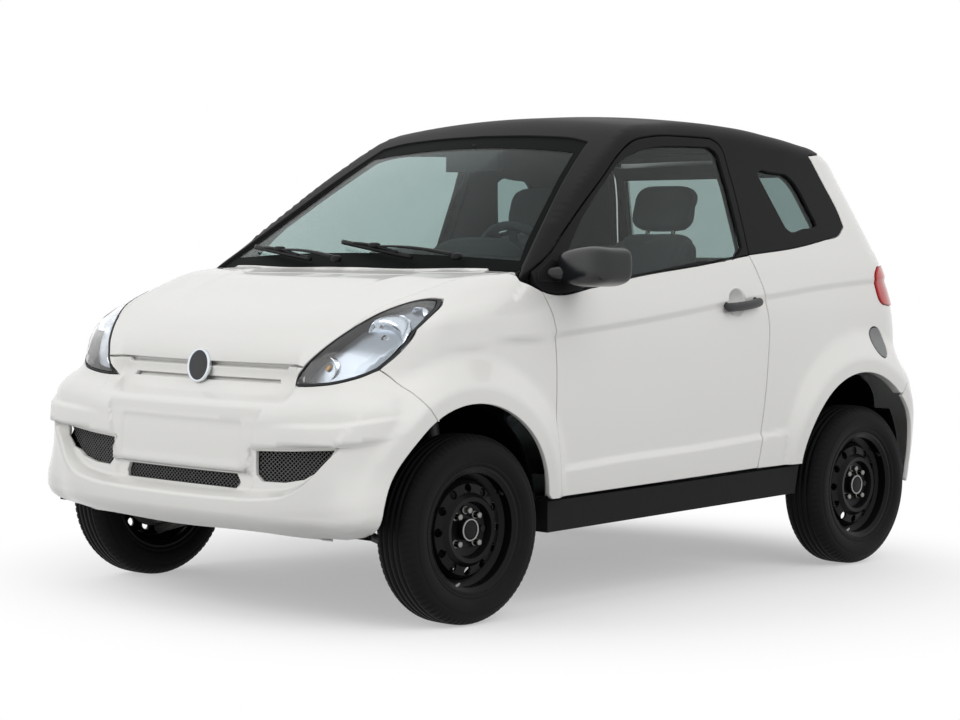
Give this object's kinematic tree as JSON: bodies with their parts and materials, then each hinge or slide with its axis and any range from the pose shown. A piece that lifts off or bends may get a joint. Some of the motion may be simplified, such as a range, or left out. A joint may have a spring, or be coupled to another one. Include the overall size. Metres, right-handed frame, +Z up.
{
  "type": "microcar",
  "caption": "Two-door city microcar with white body, black roof, black steel wheels, opening doors, bonnet and tailgate.",
  "frame": {"origin": "on the ground, below the middle of the whole box; the car's middle plane is at x = -0.0824 m, because only its left side has a mirror", "axes": "+X is the car's left side, +Y points to its rear, +Z is up"},
  "size_m": [1.7348, 2.7609, 1.4888],
  "materials": {
    "body_white": "gloss",
    "roof_black": "satin",
    "trim_black": "grained",
    "glass_tint": "clear",
    "lamp_clear": "clear",
    "lamp_red": "gloss",
    "mesh_grey": "matte",
    "frame_metal": "brushed",
    "dark_metal": "satin",
    "wheel_black": "gloss",
    "tyre_black": "matte",
    "seat_cloth": "matte",
    "cabin_plastic": "grained"
  },
  "bodies": {
    "root": {"front_bumper": "body_white", "bumper_mesh": "mesh_grey", "nose_grille": "body_white", "headlamps": "lamp_clear", "wing_left": "body_white", "wing_right": "body_white", "cowl": "trim_black", "windscreen": "glass_tint", "roof": "roof_black", "quarter_windows": "glass_tint", "quarter_left": "body_white", "quarter_right": "body_white", "tail_lamps": "lamp_red", "rear_bumper": "body_white", "sills": "trim_black", "platform": "frame_metal", "engine_block": "dark_metal", "arch_liners": "trim_black", "front_arms": "dark_metal", "rear_axle": "dark_metal", "exhaust": "dark_metal", "dashboard": "cabin_plastic", "seats": "seat_cloth", "inner_mirror": "trim_black", "wipers": "trim_black"},
    "bonnet": {"bonnet": "body_white"},
    "tailgate": {"tailgate": "body_white", "tailgate_glass": "glass_tint"},
    "fuel_flap": {"fuel_flap": "trim_black"},
    "steering_wheel": {"steering_wheel": "cabin_plastic"},
    "door_left": {"door_left": "body_white", "door_glass_left": "glass_tint", "handle_left": "trim_black", "mirror_left": "trim_black"},
    "knuckle_left": {"knuckle_left": "dark_metal"},
    "door_right": {"door_right": "body_white", "door_glass_right": "glass_tint", "handle_right": "trim_black"},
    "knuckle_right": {"knuckle_right": "dark_metal"},
    "wheel_front_left": {"rim_front_left": "wheel_black", "tyre_front_left": "tyre_black"},
    "wheel_front_right": {"rim_front_right": "wheel_black", "tyre_front_right": "tyre_black"},
    "wheel_rear_left": {"rim_rear_left": "wheel_black", "tyre_rear_left": "tyre_black"},
    "wheel_rear_right": {"rim_rear_right": "wheel_black", "tyre_rear_right": "tyre_black"}
  },
  "joints": [
    {"name": "steer_left", "type": "hinge", "parent": "root", "child": "knuckle_left", "pos_m": [0.5676, -0.92, 0.16], "axis": [-0.1842, 0.023, 0.9826], "range_deg": [-30, 30]},
    {"name": "steer_right", "type": "hinge", "parent": "root", "child": "knuckle_right", "pos_m": [-0.7324, -0.92, 0.16], "axis": [0.1842, 0.023, 0.9826], "range_deg": [-30, 30]},
    {"name": "steering_wheel_turn", "type": "hinge", "parent": "root", "child": "steering_wheel", "pos_m": [0.2426, -0.25, 0.962], "axis": [0, 0.8829, 0.4695], "range_deg": [-420, 420]},
    {"name": "spin_front_left", "type": "hinge", "parent": "knuckle_left", "child": "wheel_front_left", "pos_m": [0.6096, -0.92, 0.2665], "axis": [1, 0, 0], "continuous": true},
    {"name": "spin_front_right", "type": "hinge", "parent": "knuckle_right", "child": "wheel_front_right", "pos_m": [-0.7744, -0.92, 0.2665], "axis": [1, 0, 0], "continuous": true},
    {"name": "spin_rear_left", "type": "hinge", "parent": "root", "child": "wheel_rear_left", "pos_m": [0.6096, 0.95, 0.2665], "axis": [1, 0, 0], "continuous": true},
    {"name": "spin_rear_right", "type": "hinge", "parent": "root", "child": "wheel_rear_right", "pos_m": [-0.7744, 0.95, 0.2665], "axis": [1, 0, 0], "continuous": true},
    {"name": "door_left_hinge", "type": "hinge", "parent": "root", "child": "door_left", "pos_m": [0.6436, -0.512, 0.6], "axis": [0, 0, -1], "range_deg": [0, 62]},
    {"name": "door_right_hinge", "type": "hinge", "parent": "root", "child": "door_right", "pos_m": [-0.8084, -0.512, 0.6], "axis": [0, 0, 1], "range_deg": [0, 62]},
    {"name": "bonnet_hinge", "type": "hinge", "parent": "root", "child": "bonnet", "pos_m": [-0.0824, -0.69, 1], "axis": [-1, 0, 0], "range_deg": [0, 50]},
    {"name": "tailgate_hinge", "type": "hinge", "parent": "root", "child": "tailgate", "pos_m": [-0.0824, 1.112, 1.399], "axis": [1, 0, 0], "range_deg": [0, 80]},
    {"name": "fuel_flap_hinge", "type": "hinge", "parent": "root", "child": "fuel_flap", "pos_m": [0.6586, 1.008, 0.745], "axis": [0, 0, -1], "range_deg": [0, 100]}
  ],
  "couplings": [
    {"joint": "steer_right", "follows": "steer_left", "ratio": 1},
    {"joint": "steering_wheel_turn", "follows": "steer_left", "ratio": 14}
  ]
}
